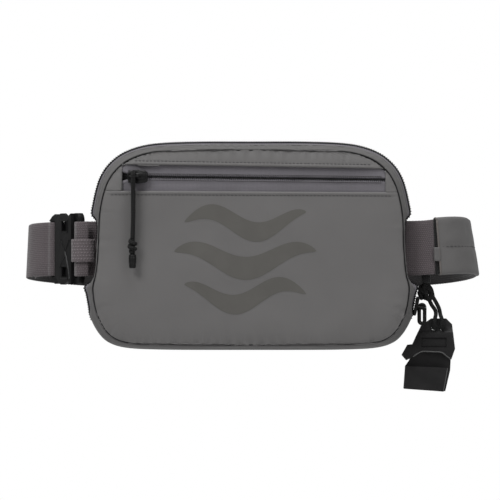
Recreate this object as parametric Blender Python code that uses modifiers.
"""Throw rope bag: a slim zip pouch on a waist belt, with a side release buckle and a clip on a lanyard.

Frame: metres, +Z up, +X to the right seen from the front, and the front faces -Y. The origin is the
middle of the back pad's flat rear face, which rests on the wearer. Outlines are in millimetres.
"""
import math

import bpy
import bmesh
from mathutils import Vector

MM = 0.001
GAP = 0.3 * MM

# Bag body, front to back
PANEL_FRONT_Y = -59.2 * MM
PANEL_THICKNESS = 1.4 * MM
FABRIC = 1.0 * MM
SEAM_Y = -57.3 * MM
FRONT_GUSSET_END_Y = -47.0 * MM
ZIP_Y = -44.0 * MM
GUSSET_START_Y = -41.0 * MM
GUSSET_END_Y = -9.2 * MM
LINING_Y = -50.6 * MM
PIPING_Y = -7.0 * MM
BACK_PANEL_Y = -7.0 * MM
PAD_THICKNESS = 6.0 * MM

# Right halves of the zip's line, the front seam, the rear seam and the pad, as (x, z) from the top
ZIP_HALF = ((0, 71.2), (34, 71.2), (60, 70.4), (76, 68.2), (89.2, 63.2), (98.6, 55.6), (104.2, 47),
            (107.2, 38), (109.2, 29), (110.2, 21.5), (106.8, 16.6), (106.4, 7), (106.4, -2),
            (106.4, -12), (106.8, -22.2), (115, -28), (113.91, -34), (112.46, -42), (111, -50),
            (104.8, -61), (97, -67.4), (84, -70.6), (60, -71.6), (30, -71.8), (0, -71.8))
SEAM_HALF = ((0, 66), (34, 66), (58, 65.4), (72.5, 63.6), (84.8, 59), (93.4, 52.2), (98.8, 44.4),
             (101.9, 36.2), (103.8, 28), (104.9, 20.5), (105.3, 14), (105.5, 6), (105.8, -2),
             (106.5, -12), (107.6, -20.4), (109.4, -28), (109.3, -34), (108.1, -42), (105.6, -50),
             (100, -59.8), (93, -65.2), (81.5, -68.1), (59, -69), (30, -69.2), (0, -69.2))
REAR_HALF = ((0, 67.5), (34, 67.5), (59, 66.8), (74, 64.8), (86.5, 60.2), (95.2, 53.2), (100.6, 45),
             (103.4, 36.6), (104.6, 28), (104.8, 20), (104.6, 13), (104.4, 5), (104.2, -3),
             (104.2, -12), (104.8, -21), (106, -29), (106.2, -36), (105.6, -43), (104, -50),
             (99.5, -59), (93, -64), (82, -66.8), (59, -68), (30, -68.3), (0, -68.3))
PAD_HALF = ((0, 59), (50, 59), (72, 56), (86, 47), (93, 34), (95, 14), (95, -16), (94.5, -36),
            (89, -50), (77, -57), (58, -59.5), (0, -59.5))
ZIP_END_Z = -52.0 * MM
ZIP_END_SHARE = 0.08

# Main zip
MAIN_TAPE_THICKNESS = 0.8 * MM
MAIN_COIL_THICKNESS = 1.6 * MM
MAIN_COIL_WIDTH = 1.1 * MM
MAIN_SLIDER_Z = -42.0 * MM
MAIN_ZIP_DIRECTION = Vector((4.0, 0.0, 22.0)).normalized()

# Front pocket: each line is (height at the middle, rise per metre of x)
ZIP_LINE = (46.3 * MM, -0.0121)
UPPER_WELT = (54.2 * MM, -0.01655)
LOWER_WELT = (37.05 * MM, -0.005)
POCKET_LEFT_X = -88.7 * MM
POCKET_RIGHT_X = 92.6 * MM
SLIDER_X = -78.5 * MM
SLIDER_LENGTH = 12.0 * MM
SLIDER_HEIGHT = 8.4 * MM
SLIDER_FRONT_Y = -60.8 * MM
ARCH_Y = -65.2 * MM
ARCH_RADIUS = 0.7 * MM
PULL_X = -81.1 * MM
PULL_DIAMETER = 3.0 * MM

# Belt: webbing 38 mm wide, and its line in plan as (x, y, height of its middle)
WEBBING_WIDTH = 38.0 * MM
WEBBING = 1.6 * MM
BELT_RIGHT = ((107.8, -38.3, -2.0), (113, -38.8, -2.0), (122, -38.6, -1.6), (131, -36.5, -0.6),
              (141, -30.5, 0), (149.5, -20, 0), (154.5, -7, -0.6), (157, 10, -2),
              (158, 28, -3.6), (156.5, 45, -5.4), (150, 61, -7.4), (136, 75, -9.4),
              (110, 88, -11.6), (70, 96, -13.2), (35, 99, -13.8), (0.3, 99.5, -14))
BELT_LEFT = ((-0.3, 99.5, -14), (-50, 98, -13.6), (-98, 92, -12), (-131, 82, -9.8),
             (-149, 69, -7.8), (-157.5, 55, -6.2), (-160, 42, -5), (-159.3, 31, -4.2),
             (-157, 22.5, -3.6), (-153, 16.5, -3.1), (-148, 12, -2.8))
BELT_TAIL = ((-141.2, 15.3, -2.8), (-146.2, 20.6, -3), (-150.4, 27, -3.4), (-153.2, 34.5, -4),
             (-154.6, 43, -4.8))
BELT_STEPS = 2
SLEEVE_FIRST_X = 128.6 * MM
SLEEVE_LAST_Y = 9.0 * MM
SLEEVE_HALF_THICKNESS = 1.9 * MM
SLEEVE_HALF_HEIGHT = 19.9 * MM

# Buckle, in its own frame: x outwards along the belt, y out of its face, z up
BUCKLE_ORIGIN = Vector((-117.5, -39.5, -2.6)) * MM
BUCKLE_TURN = math.radians(115.0)
BUCKLE_HALF_THICKNESS = 4.6 * MM
CAVITY_HALF_THICKNESS = 2.8 * MM
PRONG_HALF_THICKNESS = 2.2 * MM
PLUG_BAR_U = 51.7 * MM
PLUG_SLOT = 4.4 * MM

# Lanyard and clip
ANCHOR_X = 122.0 * MM
KNOT_CENTRE = Vector((121.4, -33.0, -32.4)) * MM
KNOT_RADIUS = 5.3 * MM
CLIP_HINGE = Vector((129.7, -34.2, -47.9)) * MM
LANYARD_DIAMETER = 2.8 * MM
HOLE_LEFT_X, HOLE_RIGHT_X = 127.6 * MM, 133.0 * MM

MATERIALS = {
    "coated_fabric": ((0.140, 0.135, 0.135, 1.0), 0.62, 0.0),
    "zip_tape": ((0.115, 0.110, 0.122, 1.0), 0.80, 0.0),
    "webbing": ((0.100, 0.088, 0.093, 1.0), 0.85, 0.0),
    "lining": ((0.100, 0.098, 0.098, 1.0), 0.80, 0.0),
    "spacer_mesh": ((0.050, 0.049, 0.050, 1.0), 0.95, 0.0),
    "black_coil": ((0.012, 0.012, 0.013, 1.0), 0.45, 0.0),
    "black_cord": ((0.010, 0.010, 0.010, 1.0), 0.75, 0.0),
    "buckle_plastic": ((0.014, 0.014, 0.015, 1.0), 0.42, 0.0),
    "clip_plastic": ((0.023, 0.022, 0.023, 1.0), 0.50, 0.0),
}


def clear_scene():
    for obj in list(bpy.data.objects):
        bpy.data.objects.remove(obj, do_unlink=True)


def new_collection(name):
    collection = bpy.data.collections.new(name)
    bpy.context.scene.collection.children.link(collection)
    return collection


def make_materials():
    for name, (colour, roughness, metallic) in MATERIALS.items():
        material = bpy.data.materials.new(name)
        material.use_nodes = True
        shader = material.node_tree.nodes["Principled BSDF"]
        shader.inputs["Base Color"].default_value = colour
        shader.inputs["Roughness"].default_value = roughness
        shader.inputs["Metallic"].default_value = metallic
        material.diffuse_color = colour


clear_scene()
PARTS = new_collection("throw_rope_bag")
CUTTERS = new_collection("throw_rope_bag_cutters")
make_materials()


# ---- Helpers -------------------------------------------------------------------------------------

def add(name, data, material, collection=None):
    """A new object of this data, in the parts' collection unless another is given."""
    obj = bpy.data.objects.new(name, data)
    (collection or PARTS).objects.link(obj)
    data.materials.append(bpy.data.materials[material])
    return obj


def joint_empty(name, location, parent=None, turn=0.0):
    """An empty on a joint's axis, which carries the pieces that move about it."""
    empty = bpy.data.objects.new(name, None)
    empty.empty_display_size = 0.01
    empty.location = location
    empty.rotation_euler[2] = turn
    PARTS.objects.link(empty)
    bpy.context.view_layer.update()
    if parent:
        carry(parent, empty)
    return empty


def carry(parent, *objects):
    """Parents objects that are already in place."""
    bpy.context.view_layer.update()
    for obj in objects:
        obj.parent = parent
        obj.matrix_parent_inverse = parent.matrix_world.inverted()


def place_in(frame, *objects):
    """Parents objects whose own coordinates are those of the frame."""
    for obj in objects:
        obj.parent = frame


def points(rows):
    """Hand-written millimetres as vectors in metres."""
    return [Vector(row) * MM for row in rows]


def points_2d(profile):
    """A hand-written profile in metres."""
    return [(radius * MM, height * MM) for radius, height in profile]


def smooth(path, steps):
    """A curve through the path's points, with this many steps from each point to the next."""
    result = []
    last = len(path) - 1
    for i in range(last):
        before, start = path[max(i - 1, 0)], path[i]
        end, after = path[i + 1], path[min(i + 2, last)]
        for step in range(steps):
            t = step / steps
            result.append(0.5 * (2 * start + (end - before) * t
                                 + (2 * before - 5 * start + 4 * end - after) * t ** 2
                                 + (3 * start - before - 3 * end + after) * t ** 3))
    result.append(path[last].copy())
    return result


def loop_at(half, y, inset=0.0):
    """A closed loop at depth y, from its right half, moved inwards by inset."""
    right = [Vector((x, 0.0, z)) * MM for x, z in half]
    left = [Vector((-p.x, 0.0, p.z)) for p in reversed(right[1:-1])]
    loop = right + left
    moved = []
    for i, here in enumerate(loop):
        along = loop[(i + 1) % len(loop)] - loop[i - 1]
        inwards = Vector((along.z, 0.0, -along.x)).normalized()
        moved.append(here + inwards * inset + Vector((0.0, y, 0.0)))
    return moved


def zip_run(y):
    """The stretch of the zip's line that has teeth: up the left side, over the top, down the right."""
    loop = loop_at(ZIP_HALF, y)
    half = len(ZIP_HALF) - 1
    return [p for p in loop[half:] + loop[:half] if p.z > ZIP_END_Z]


def bottom_run(y):
    """The rest of the zip's line, round the bottom of the bag, from just below the zip's ends."""
    loop = loop_at(ZIP_HALF, y)
    low = [p for p in loop if p.z < ZIP_END_Z]
    right_end = zip_run(y)[-1].lerp(low[0], ZIP_END_SHARE)
    left_end = zip_run(y)[0].lerp(low[-1], ZIP_END_SHARE)
    return [right_end] + low + [left_end]


def sheet(name, rows, thickness, closed, material):
    """Fabric or webbing: rows of points joined by faces, thickened evenly to both sides."""
    mesh = bpy.data.meshes.new(name)
    work = bmesh.new()
    grid = [[work.verts.new(point) for point in row] for row in rows]
    count = len(rows[0])
    for upper, lower in zip(grid, grid[1:]):
        for i in range(count if closed else count - 1):
            j = (i + 1) % count
            work.faces.new((upper[i], upper[j], lower[j], lower[i]))
    work.to_mesh(mesh)
    work.free()
    obj = add(name, mesh, material)
    solidify = obj.modifiers.new("thickness", "SOLIDIFY")
    solidify.thickness = thickness
    solidify.offset = 0.0
    solidify.use_even_offset = True
    return obj


def ribbon(name, path, width, thickness, material):
    """A flat band along a path; width is a vector across it."""
    rows = [[p + width / 2 for p in path], [p - width / 2 for p in path]]
    return sheet(name, rows, thickness, False, material)


def turned_left(outline):
    """The outline in the order that runs anticlockwise, as a filled curve needs it."""
    area = sum(a[0] * b[1] - b[0] * a[1] for a, b in zip(outline, outline[1:] + outline[:1]))
    return outline if area > 0 else outline[::-1]


def plate(name, outline, near_y, far_y, material, collection=None):
    """An upright plate: a filled outline of (x, z) in metres between two depths."""
    outline = turned_left(outline)
    curve = bpy.data.curves.new(name, "CURVE")
    curve.dimensions = "2D"
    curve.fill_mode = "BOTH"
    curve.extrude = abs(far_y - near_y) / 2
    spline = curve.splines.new("POLY")
    spline.points.add(len(outline) - 1)
    for point, (x, z) in zip(spline.points, outline):
        point.co = (x, z, 0.0, 1.0)
    spline.use_cyclic_u = True
    obj = add(name, curve, material, collection)
    obj.rotation_euler[0] = math.pi / 2
    obj.location[1] = (near_y + far_y) / 2
    return obj


def tube(name, path, diameter, material, closed=False, resolution=2, collection=None):
    """A cord, rod or welt along a path, with filled caps."""
    curve = bpy.data.curves.new(name, "CURVE")
    curve.dimensions = "3D"
    curve.bevel_depth = diameter / 2
    curve.bevel_resolution = resolution
    curve.use_fill_caps = not closed
    spline = curve.splines.new("POLY")
    spline.points.add(len(path) - 1)
    for point, place in zip(spline.points, path):
        point.co = (*place, 1.0)
    spline.use_cyclic_u = closed
    return add(name, curve, material, collection)


def box(name, low, high, material, collection=None):
    """A block between two corners in metres."""
    low, high = Vector(low), Vector(high)
    mesh = bpy.data.meshes.new(name)
    work = bmesh.new()
    bmesh.ops.create_cube(work, size=1.0)
    bmesh.ops.scale(work, vec=high - low, verts=work.verts)
    bmesh.ops.translate(work, vec=(low + high) / 2, verts=work.verts)
    work.to_mesh(mesh)
    work.free()
    return add(name, mesh, material, collection)


def turned(name, profile, centre, material, steps=14):
    """A turned piece about a vertical axis; its profile is (radius, height) from top to bottom."""
    mesh = bpy.data.meshes.new(name)
    work = bmesh.new()
    verts = [work.verts.new((radius, 0.0, height)) for radius, height in profile]
    for start, end in zip(verts, verts[1:]):
        work.edges.new((start, end))
    work.to_mesh(mesh)
    work.free()
    obj = add(name, mesh, material)
    obj.location = centre
    screw = obj.modifiers.new("turn", "SCREW")
    screw.axis = "Z"
    screw.steps = steps
    screw.render_steps = steps
    screw.use_merge_vertices = True
    screw.merge_threshold = 0.00001
    return obj


def as_mesh(obj):
    """The same piece as a mesh with welded caps, in place of the curve."""
    bpy.context.view_layer.update()
    mesh = bpy.data.meshes.new_from_object(obj.evaluated_get(bpy.context.evaluated_depsgraph_get()))
    work = bmesh.new()
    work.from_mesh(mesh)
    bmesh.ops.remove_doubles(work, verts=work.verts, dist=0.000001)
    work.to_mesh(mesh)
    work.free()
    name, collection, matrix = obj.name, obj.users_collection[0], obj.matrix_world.copy()
    bpy.data.objects.remove(obj, do_unlink=True)
    solid = bpy.data.objects.new(name, mesh)
    solid.matrix_world = matrix
    collection.objects.link(solid)
    return solid


def combine(target, tool, operation):
    """Joins a tool to the target, or cuts it out of it, and keeps the tool out of the model."""
    for collection in list(tool.users_collection):
        collection.objects.unlink(tool)
    CUTTERS.objects.link(tool)
    tool.hide_render = True
    tool.display_type = "WIRE"
    boolean = target.modifiers.new(tool.name, "BOOLEAN")
    boolean.operation = operation
    boolean.object = tool
    boolean.solver = "EXACT"


def line_z(line, x):
    """The height of a slanting pocket line at x."""
    return line[0] + line[1] * x


def clip_outline(outline, line, above):
    """The part of a closed outline above or below a slanting line."""
    kept = []
    for i, here in enumerate(outline):
        before = outline[i - 1]
        height_before = before[1] - line_z(line, before[0])
        height_here = here[1] - line_z(line, here[0])
        if (height_before > 0) != (height_here > 0):
            t = height_before / (height_before - height_here)
            kept.append((before[0] + (here[0] - before[0]) * t, before[1] + (here[1] - before[1]) * t))
        if (height_here > 0) == above:
            kept.append(here)
    return kept


def shifted(line, rise):
    """A slanting line moved up by rise."""
    return (line[0] + rise, line[1])


def strip_outline(lower, upper, left, right):
    """Four corners between two slanting lines."""
    return [(left, line_z(lower, left)), (right, line_z(lower, right)),
            (right, line_z(upper, right)), (left, line_z(upper, left))]


def clip_side(outline, x, right):
    """The part of a closed outline to one side of an upright line."""
    on_its_side = [(z, x_here) for x_here, z in outline]
    return [(x_here, z) for z, x_here in clip_outline(on_its_side, (x, 0.0), right)]


def flat(loop):
    """A loop's (x, z), for a plate."""
    return [(p.x, p.z) for p in loop]


# ---- Front half, which opens forwards about the bottom -------------------------------------------

def make_front(hinge):
    """The two panels, the tabs at the pocket's ends, the front gusset and the pocket's lining."""
    back_y = PANEL_FRONT_Y + PANEL_THICKNESS
    whole = flat(loop_at(SEAM_HALF, 0.0, -0.6 * MM))
    above = clip_outline(whole, UPPER_WELT, True)
    below = clip_outline(whole, LOWER_WELT, False)
    between = clip_outline(clip_outline(whole, shifted(LOWER_WELT, GAP), True),
                           shifted(UPPER_WELT, -GAP), False)
    left = clip_side(between, POCKET_LEFT_X, False)
    right = clip_side(between, POCKET_RIGHT_X, True)
    panels = [plate(name, outline, PANEL_FRONT_Y, back_y, "coated_fabric")
              for name, outline in (("front_panel_upper", above), ("front_panel_lower", below),
                                    ("pocket_tab_left", left), ("pocket_tab_right", right))]
    seam = loop_at(SEAM_HALF, SEAM_Y)
    rear = loop_at(ZIP_HALF, FRONT_GUSSET_END_Y)
    middle = [(a + b) / 2 for a, b in zip(seam, rear)]
    gusset = sheet("front_gusset", [seam, middle, rear], FABRIC, True, "coated_fabric")
    lining = plate("pocket_lining", flat(loop_at(SEAM_HALF, 0.0, 1.7 * MM)),
                   LINING_Y, LINING_Y + 0.6 * MM, "lining")
    carry(hinge, gusset, lining, *panels)


def make_main_zip(hinge):
    """Tape and coil on both sides of the main zip, and the bottom strip where there is no zip."""
    step = MAIN_COIL_WIDTH + GAP
    for side, sign in (("front", -1), ("rear", 1)):
        near = ZIP_Y + sign * 0.2 * MM
        coil = sheet("main_zip_coil_" + side, [zip_run(near), zip_run(near + sign * MAIN_COIL_WIDTH)],
                     MAIN_COIL_THICKNESS, False, "black_coil")
        near += sign * step
        tape = sheet("main_zip_tape_" + side, [zip_run(near), zip_run(near + sign * MAIN_COIL_WIDTH)],
                     MAIN_TAPE_THICKNESS, False, "zip_tape")
        if side == "front":
            carry(hinge, coil, tape)
    sheet("bottom_gusset", [bottom_run(FRONT_GUSSET_END_Y + GAP), bottom_run(GUSSET_START_Y - GAP)],
          FABRIC, False, "coated_fabric")


def make_pocket_zip(hinge):
    """The front pocket's tapes and coils, behind the window between the panels."""
    inside = flat(loop_at(SEAM_HALF, 0.0, 1.3 * MM))
    window = clip_side(clip_side(inside, POCKET_LEFT_X - 3.5 * MM, True), POCKET_RIGHT_X + 3 * MM, False)
    tape_y = PANEL_FRONT_Y + PANEL_THICKNESS + 0.4 * MM
    reach = 2.2 * MM
    upper = clip_outline(clip_outline(window, shifted(ZIP_LINE, reach), True),
                         shifted(UPPER_WELT, 3 * MM), False)
    lower = clip_outline(clip_outline(window, shifted(ZIP_LINE, -reach), False),
                         shifted(LOWER_WELT, -3 * MM), True)
    pieces = [plate("pocket_zip_tape_" + name, outline, tape_y, tape_y + 0.6 * MM, "zip_tape")
              for name, outline in (("upper", upper), ("lower", lower))]
    for name, sign in (("upper", 1), ("lower", -1)):
        lines = sorted((sign * 0.15 * MM, sign * 1.9 * MM))
        outline = strip_outline(shifted(ZIP_LINE, lines[0]), shifted(ZIP_LINE, lines[1]),
                                POCKET_LEFT_X + 0.4 * MM, POCKET_RIGHT_X - 0.4 * MM)
        pieces.append(plate("pocket_zip_coil_" + name, outline,
                            PANEL_FRONT_Y + 0.8 * MM, PANEL_FRONT_Y + 2.8 * MM, "black_coil"))
    carry(hinge, *pieces)


def make_pocket_slider(slide):
    """A channel that rides over the coils, with an arch for the pull."""
    z = line_z(ZIP_LINE, SLIDER_X)
    left, right = SLIDER_X - SLIDER_LENGTH / 2, SLIDER_X + SLIDER_LENGTH / 2
    skirt_y = PANEL_FRONT_Y + 1.3 * MM
    plate_back_y = PANEL_FRONT_Y - 0.1 * MM
    body = box("pocket_slider", (left, SLIDER_FRONT_Y, z - SLIDER_HEIGHT / 2),
               (right, skirt_y, z + SLIDER_HEIGHT / 2), "buckle_plastic")
    channel = box("slider_channel", (left - 1 * MM, plate_back_y, z - 2.45 * MM),
                  (right + 1 * MM, skirt_y + 1 * MM, z + 2.45 * MM), "buckle_plastic", CUTTERS)
    combine(body, channel, "DIFFERENCE")
    foot = SLIDER_FRONT_Y + 0.5 * MM
    arch_path = [Vector((x, y, z)) for x, y in ((left + 0.8 * MM, foot), (left + 0.8 * MM, ARCH_Y),
                                                (left + 7.0 * MM, ARCH_Y), (left + 9.0 * MM, foot))]
    arch = as_mesh(tube("slider_arch", arch_path, 2 * ARCH_RADIUS, "buckle_plastic", collection=CUTTERS))
    combine(body, arch, "UNION")
    carry(slide, body, channel, arch)


def make_pocket_pull(pivot):
    """A doubled cord through the slider's arch, with its knot and end sleeve."""
    z = line_z(ZIP_LINE, SLIDER_X)
    bend = ARCH_RADIUS / MM + 0.3 + PULL_DIAMETER / MM / 2
    y, top = ARCH_Y / MM, z / MM
    x = PULL_X / MM
    turn = [(x, y + bend * math.cos(a), top + bend * math.sin(a))
            for a in (math.radians(d) for d in (0, 36, 72, 108, 144, 180))]
    path = [(x, y + 2.0, 6.1), (x, y + 2.0, 20), (x, y + 2.1, 34), (x, y + 2.4, 42)] + turn
    path += [(x, y - 2.1, 42), (x, y - 1.4, 34), (x, y - 1.3, 20), (x, y - 1.3, 6.1)]
    cord = tube("pocket_pull_cord", smooth(points(path), 2), PULL_DIAMETER, "black_cord")
    knot_profile = [(0.0, 5.8), (2.2, 4.6), (3.5, 1.0), (3.65, -2.6), (3.0, -5.2), (0.0, -6.6)]
    end_profile = [(0.0, -6.9), (2.3, -6.9), (2.75, -8.0), (2.75, -15.4), (2.4, -16.0), (0.0, -16.0)]
    centre = Vector((x, y - 0.9, 0.0)) * MM
    knot = turned("pocket_pull_knot", points_2d(knot_profile), centre, "black_cord")
    end = turned("pocket_pull_end", points_2d(end_profile), centre, "black_cord")
    carry(pivot, cord, knot, end)


# ---- Rear half, which the belt is sewn to --------------------------------------------------------

def make_rear():
    """The gusset behind the zip, the back panel with its welt, the pad and the rope's anchor."""
    front, rear = loop_at(ZIP_HALF, GUSSET_START_Y), loop_at(REAR_HALF, GUSSET_END_Y)
    middle = [a.lerp(b, 0.4) for a, b in zip(front, rear)]
    sheet("rear_gusset", [front, middle, rear], FABRIC, True, "coated_fabric")
    tube("rear_piping", loop_at(REAR_HALF, PIPING_Y), 2.4 * MM, "coated_fabric",
         closed=True, resolution=1)
    plate("back_panel", flat(loop_at(REAR_HALF, 0.0, 1.7 * MM)), BACK_PANEL_Y - 0.6 * MM,
          BACK_PANEL_Y + 0.6 * MM, "lining")
    plate("back_pad", flat(loop_at(PAD_HALF, 0.0)), -PAD_THICKNESS, 0.0, "spacer_mesh")
    anchor = points([(70, -8.6, -48), (70, -8.6, -40), (70, -13.5, -36.5), (70, -16.3, -30),
                     (70, -13.5, -23.5), (70, -8.6, -20), (70, -8.6, -12)])
    ribbon("rope_anchor_loop", anchor, Vector((20 * MM, 0, 0)), 1.2 * MM, "webbing")


def buckle_points(places):
    """Points at (distance along the belt, distance out of the face) in the buckle's own frame."""
    along = Vector((math.cos(BUCKLE_TURN), math.sin(BUCKLE_TURN), 0.0))
    out_of_face = Vector((-math.sin(BUCKLE_TURN), math.cos(BUCKLE_TURN), 0.0))
    return [BUCKLE_ORIGIN + (along * u + out_of_face * n) * MM for u, n in places]


def belt_across():
    """The webbing's width, which is upright."""
    return Vector((0.0, 0.0, WEBBING_WIDTH))


def make_right_belt():
    """The webbing from the right side to the middle of the back, its fabric sleeve and a small tab."""
    path = smooth(points(BELT_RIGHT), BELT_STEPS)
    ribbon("belt_right", path, belt_across(), WEBBING, "webbing")
    first = next(i for i, p in enumerate(path) if p.x > SLEEVE_FIRST_X)
    last = next(i for i, p in enumerate(path) if p.y > SLEEVE_LAST_Y)
    rows = []
    for i in range(first, last + 1):
        along = (path[i + 1] - path[i - 1]).normalized()
        outwards = Vector((along.y, -along.x, 0.0)).normalized() * SLEEVE_HALF_THICKNESS
        up = Vector((0.0, 0.0, SLEEVE_HALF_HEIGHT))
        rows.append([path[i] + outwards + up, path[i] + outwards - up,
                     path[i] - outwards - up, path[i] - outwards + up])
    sheet("belt_sleeve", rows, FABRIC, True, "coated_fabric")
    tab = points([(131.6, -40.9, -6.2), (129.8, -41.8, -6.2), (127.9, -41.6, -6.2), (126.9, -40.5, -6.2)])
    ribbon("sleeve_tab", tab, Vector((0, 0, 9.6 * MM)), 0.8 * MM, "coated_fabric")


def make_left_strap():
    """The stub of webbing folded round the buckle's bar, and the narrow keeper in front of it."""
    fold = buckle_points(((1.5, -3.5), (4.6, -3.0), (6.3, -1.6), (6.7, 0), (6.3, 1.6), (4.6, 3.0),
                          (1.5, 3.5), (-1.2, 3.5)))
    stub = points([(-107.8, -37.6, -2.4), (-111, -36.8, -2.4)]) + fold
    stub += points([(-118.3, -43, -2.6), (-115.5, -43.3, -2.5), (-112.8, -43.3, -2.4)])
    ribbon("strap_stub_left", smooth(stub, 2), belt_across(), WEBBING, "webbing")
    keeper = points([(-124.4, -38.6, -3.7), (-123.2, -42.2, -3.7), (-120, -45, -3.7),
                     (-115.5, -45.4, -3.7), (-111.5, -45.2, -3.7), (-108.9, -43.2, -3.7)])
    ribbon("strap_keeper_left", smooth(keeper, 2), Vector((0, 0, 15.9 * MM)), 1.2 * MM, "webbing")


# ---- Buckle ---------------------------------------------------------------------------------------

def mirrored(half):
    """A closed outline symmetric about z = 0, in metres, from the part of it that is above."""
    upper = [(u * MM, z * MM) for u, z in half]
    return upper + [(u, -z) for u, z in reversed(upper)]


def cutting_block(name, u_range, n_range, z_range):
    """A cutting block in the buckle's frame, from ranges in millimetres."""
    low, high = zip(u_range, n_range, z_range)
    return box(name, Vector(low) * MM, Vector(high) * MM, "buckle_plastic", CUTTERS)


def make_socket(frame):
    """The half with the cavity: two faces joined at the strap's bar and by a middle rib."""
    outline = mirrored([(0, 21), (1.5, 23.6), (4, 25), (9, 25), (12, 23.8), (15, 22.8), (18, 23.4),
                        (22, 25), (29, 25), (34, 22.8), (38, 19)])
    half = BUCKLE_HALF_THICKNESS
    body = as_mesh(plate("buckle_socket", outline, -half, half, "buckle_plastic"))
    cavity = CAVITY_HALF_THICKNESS / MM
    cutters = [box("socket_cavity" + side, (11 * MM, -cavity * MM, low * MM),
                   (40 * MM, cavity * MM, high * MM), "buckle_plastic", CUTTERS)
               for side, low, high in (("_upper", 2, 30), ("_lower", -30, -2))]
    cutters.append(box("socket_slot", (3.8 * MM, -10 * MM, -20 * MM), (8.6 * MM, 10 * MM, 20 * MM),
                       "buckle_plastic", CUTTERS))
    cutters += [cutting_block("socket_frame_front", (-2, 9.3), (2.1, 8), (-30, 30)),
                cutting_block("socket_frame_rear", (-2, 9.3), (-8, -2.1), (-30, 30)),
                cutting_block("socket_window_upper", (17, 27), (1.5, 8), (12.6, 20.4)),
                cutting_block("socket_window_lower", (17, 27), (1.5, 8), (-20.4, -12.6))]
    for cutter in cutters:
        combine(body, cutter, "DIFFERENCE")
    place_in(frame, body, *cutters)


def make_plug(frame):
    """The half with the prongs' base, the slot for the webbing, its bar and the rounded ears beside it."""
    outline = mirrored([(38.4, 19), (39.6, 22.8), (42.5, 24.6), (47, 24.7), (52, 23.2), (56.8, 20.6),
                        (58.2, 19.8), (55.8, 19.6)])
    body = as_mesh(plate("buckle_plug", outline, -1.8 * MM, 1.8 * MM, "buckle_plastic"))
    block = box("plug_shoulder", (38.4 * MM, -3.6 * MM, -18 * MM), (41.3 * MM, 3.6 * MM, 18 * MM),
                "buckle_plastic", CUTTERS)
    slot = box("plug_slot", (PLUG_BAR_U - PLUG_SLOT, -5 * MM, -19.6 * MM), (PLUG_BAR_U, 5 * MM, 19.6 * MM),
               "buckle_plastic", CUTTERS)
    combine(body, block, "UNION")
    combine(body, slot, "DIFFERENCE")
    place_in(frame, body, block, slot)


def make_prong(name, sign):
    """A springy prong whose head shows in the socket's window; it bends at its root."""
    half = [(37.9, 8.6), (37.9, 13.2), (30, 13.6), (28.6, 19.4), (24, 20.6), (17, 15.4), (14.4, 9.6),
            (18, 8)]
    outline = [(u * MM, sign * z * MM) for u, z in half]
    return plate(name, outline, -PRONG_HALF_THICKNESS, PRONG_HALF_THICKNESS, "buckle_plastic")


def make_left_belt():
    """The webbing from the middle of the back to the plug, round its bar and back along itself."""
    bar = buckle_points([(PLUG_BAR_U / MM + u, n) for u, n in
                         ((3.2, 3.0), (0, 3.0), (-2.1, 1.7), (-2.6, 0), (-2.1, -1.7), (0, -3.0),
                          (3.2, -3.0))])
    path = points(BELT_LEFT) + bar + points(BELT_TAIL)
    return ribbon("belt_left", smooth(path, BELT_STEPS), belt_across(), WEBBING, "webbing")


# ---- Main slider, its pull, and the clip on its lanyard ------------------------------------------

def make_main_slider(slide):
    """A plate over the closed teeth with an eye for the pull, square to the zip's straight stretch."""
    body = box("main_slider", (1.2 * MM, -4.7 * MM, -6 * MM), (2.6 * MM, 4.7 * MM, 6 * MM),
               "buckle_plastic")
    eye_path = points([(2.0, -3.2, 0), (6.2, -3.2, 0), (6.2, 3.2, 0), (2.0, 3.2, 0)])
    eye = as_mesh(tube("main_slider_eye", eye_path, 1.2 * MM, "buckle_plastic", collection=CUTTERS))
    combine(body, eye, "UNION")
    place_in(slide, body, eye)


def make_main_pull(pivot):
    """An oval ring that hangs from the slider's eye."""
    middle = pivot.matrix_world.translation
    half_width, length = 2.0 * MM, 9.2 * MM
    ring = []
    for degrees in range(0, 360, 30):
        angle = math.radians(degrees)
        drop = 0.0 if degrees <= 180 else length
        ring.append(middle + Vector((half_width * math.cos(angle), 0.0,
                                     half_width * math.sin(angle) - drop)))
    ring.insert(0, middle + Vector((half_width, 0.0, -length)))
    ring.insert(8, middle + Vector((-half_width, 0.0, -length)))
    carry(pivot, tube("main_pull_ring", ring, 2.2 * MM, "black_cord", closed=True))


def make_lanyard(pivot):
    """The small loop under the right strap, the knot that turns in it and two legs of cord."""
    x = ANCHOR_X / MM
    loop = points([(x, -36, -8), (x, -36, -20), (x, -35.6, -24.4), (x, -34, -26.0),
                   (x, -32.4, -24.4), (x, -32, -20), (x, -32, -8)])
    ribbon("lanyard_anchor_loop", loop, Vector((8 * MM, 0, 0)), 1.0 * MM, "webbing")
    profile = [(KNOT_RADIUS * math.sin(a), KNOT_RADIUS * math.cos(a))
               for a in (math.radians(degrees) for degrees in range(0, 181, 30))]
    knot = turned("lanyard_knot", profile, KNOT_CENTRE, "black_cord", 12)
    left = points([(123.7, -33, -39.0), (125.6, -33.2, -43), (127.3, -33.8, -45),
                   (128.1, -34.2, -46.4)])
    right = points([(127.1, -33, -37.1), (129.4, -33.2, -41.2), (130.8, -33.8, -44),
                    (131.3, -34.2, -46.4)])
    legs = [tube(name, smooth(path, 2), LANYARD_DIAMETER, "black_cord")
            for name, path in (("lanyard_cord_left", left), ("lanyard_cord_right", right))]
    carry(pivot, knot, *legs)


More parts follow.
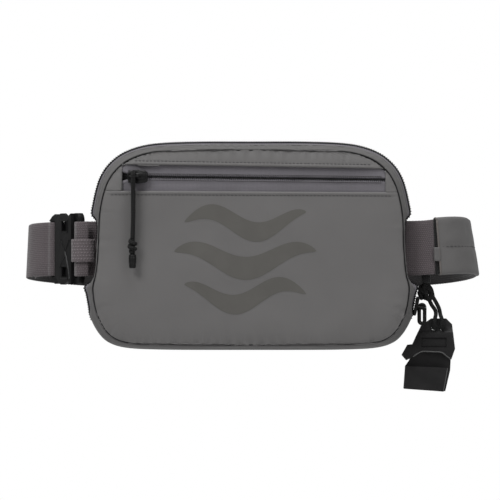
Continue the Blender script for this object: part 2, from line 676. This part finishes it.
def make_clip(hinge):
    """A flat hook with a band across its front, and the bight of cord through its two holes."""
    upper = [(125.6, -51), (136, -51), (140, -55), (142, -72), (139.4, -79.5), (132.5, -74.4),
             (119, -73.7), (112.5, -78), (108, -80), (105, -76.5), (109, -69.4), (112.5, -69),
             (118.5, -56)]
    lower = [(119, -72), (134, -72), (139.2, -79), (138.8, -87), (135.4, -101.7), (106.3, -99.7),
             (107.6, -84), (110, -80.6), (112, -77)]
    band = [(107.4, -84), (136.6, -85.2), (133.8, -101.7), (106.3, -99.7)]
    bend = [(107.4, -84), (109.6, -84), (108.6, -99.8), (106.3, -99.7)]

    def layer(name, outline, near, far, collection=CUTTERS):
        shape = [(x * MM, z * MM) for x, z in outline]
        return as_mesh(plate(name, shape, near * MM, far * MM, "clip_plastic", collection))

    body = layer("clip_body", upper, -37.5, -30.5, PARTS)
    added = [layer("clip_lower_plate", lower, -34.0, -30.6), layer("clip_band", band, -41.2, -39.0),
             layer("clip_bend", bend, -40.4, -31.2)]
    removed = [box("clip_top_front", (100 * MM, -50 * MM, -60.5 * MM), (150 * MM, -36.2 * MM, -45 * MM),
                   "clip_plastic", CUTTERS),
               box("clip_top_rear", (100 * MM, -31.8 * MM, -60.5 * MM), (150 * MM, -20 * MM, -45 * MM),
                   "clip_plastic", CUTTERS),
               box("clip_recess", (118.7 * MM, -45 * MM, -71 * MM), (136 * MM, -36 * MM, -64.3 * MM),
                   "clip_plastic", CUTTERS)]
    removed += [as_mesh(tube("clip_hole" + side, points([(x, -45, -57.4), (x, -22, -57.4)]), 3.8 * MM,
                             "clip_plastic", resolution=3, collection=CUTTERS))
                for side, x in (("_left", HOLE_LEFT_X / MM), ("_right", HOLE_RIGHT_X / MM))]
    for tool in added:
        combine(body, tool, "UNION")
    for tool in removed:
        combine(body, tool, "DIFFERENCE")
    down = [(128.1, -34.2, -48.2), (128.0, -36.2, -48.7), (127.8, -37.7, -50), (127.6, -38.2, -52.4),
            (127.6, -38.3, -55.0), (127.6, -37.6, -56.9), (127.6, -36, -57.4), (127.6, -33, -57.4),
            (127.6, -31, -57.4), (128.4, -29.8, -57.6), (130.3, -29.5, -57.8)]
    up = [((HOLE_LEFT_X + HOLE_RIGHT_X) / MM - x, y, z) for x, y, z in reversed(down[:-1])]
    path = smooth(points(down + up), 2)
    bight = tube("lanyard_bight", path, LANYARD_DIAMETER, "black_cord")
    carry(hinge, body, bight, *added, *removed)


# ---- Assembly -------------------------------------------------------------------------------------

def build():
    front = joint_empty("front_opening", (0.0, FRONT_GUSSET_END_Y + GAP / 2, -72.6 * MM))
    make_front(front)
    make_main_zip(front)
    make_pocket_zip(front)
    slider_z = line_z(ZIP_LINE, SLIDER_X)
    pocket_slide = joint_empty("pocket_slider_travel", (SLIDER_X, PANEL_FRONT_Y, slider_z), front)
    make_pocket_slider(pocket_slide)
    make_pocket_pull(joint_empty("pocket_pull_swing", (PULL_X, ARCH_Y, slider_z), pocket_slide))

    make_rear()
    make_right_belt()
    make_left_strap()

    socket_frame = joint_empty("buckle_socket_frame", BUCKLE_ORIGIN, turn=BUCKLE_TURN)
    plug_frame = joint_empty("buckle_plug_travel", BUCKLE_ORIGIN, turn=BUCKLE_TURN)
    make_socket(socket_frame)
    make_plug(plug_frame)
    place_in(plug_frame, make_prong("buckle_prong_upper", 1), make_prong("buckle_prong_lower", -1))
    carry(plug_frame, make_left_belt())

    slider_x = ZIP_HALF[17][0] * MM
    main_slide = joint_empty("main_slider_travel", (slider_x, ZIP_Y, MAIN_SLIDER_Z))
    main_slide.rotation_euler[1] = math.atan2(MAIN_ZIP_DIRECTION.x, MAIN_ZIP_DIRECTION.z)
    make_main_slider(main_slide)
    bpy.context.view_layer.update()
    eye = main_slide.matrix_world @ Vector((6.2 * MM, 0.0, 0.0))
    make_main_pull(joint_empty("main_pull_swing", eye, main_slide))

    lanyard = joint_empty("lanyard_swing", KNOT_CENTRE)
    make_lanyard(lanyard)
    make_clip(joint_empty("clip_swing", CLIP_HINGE, lanyard))


build()
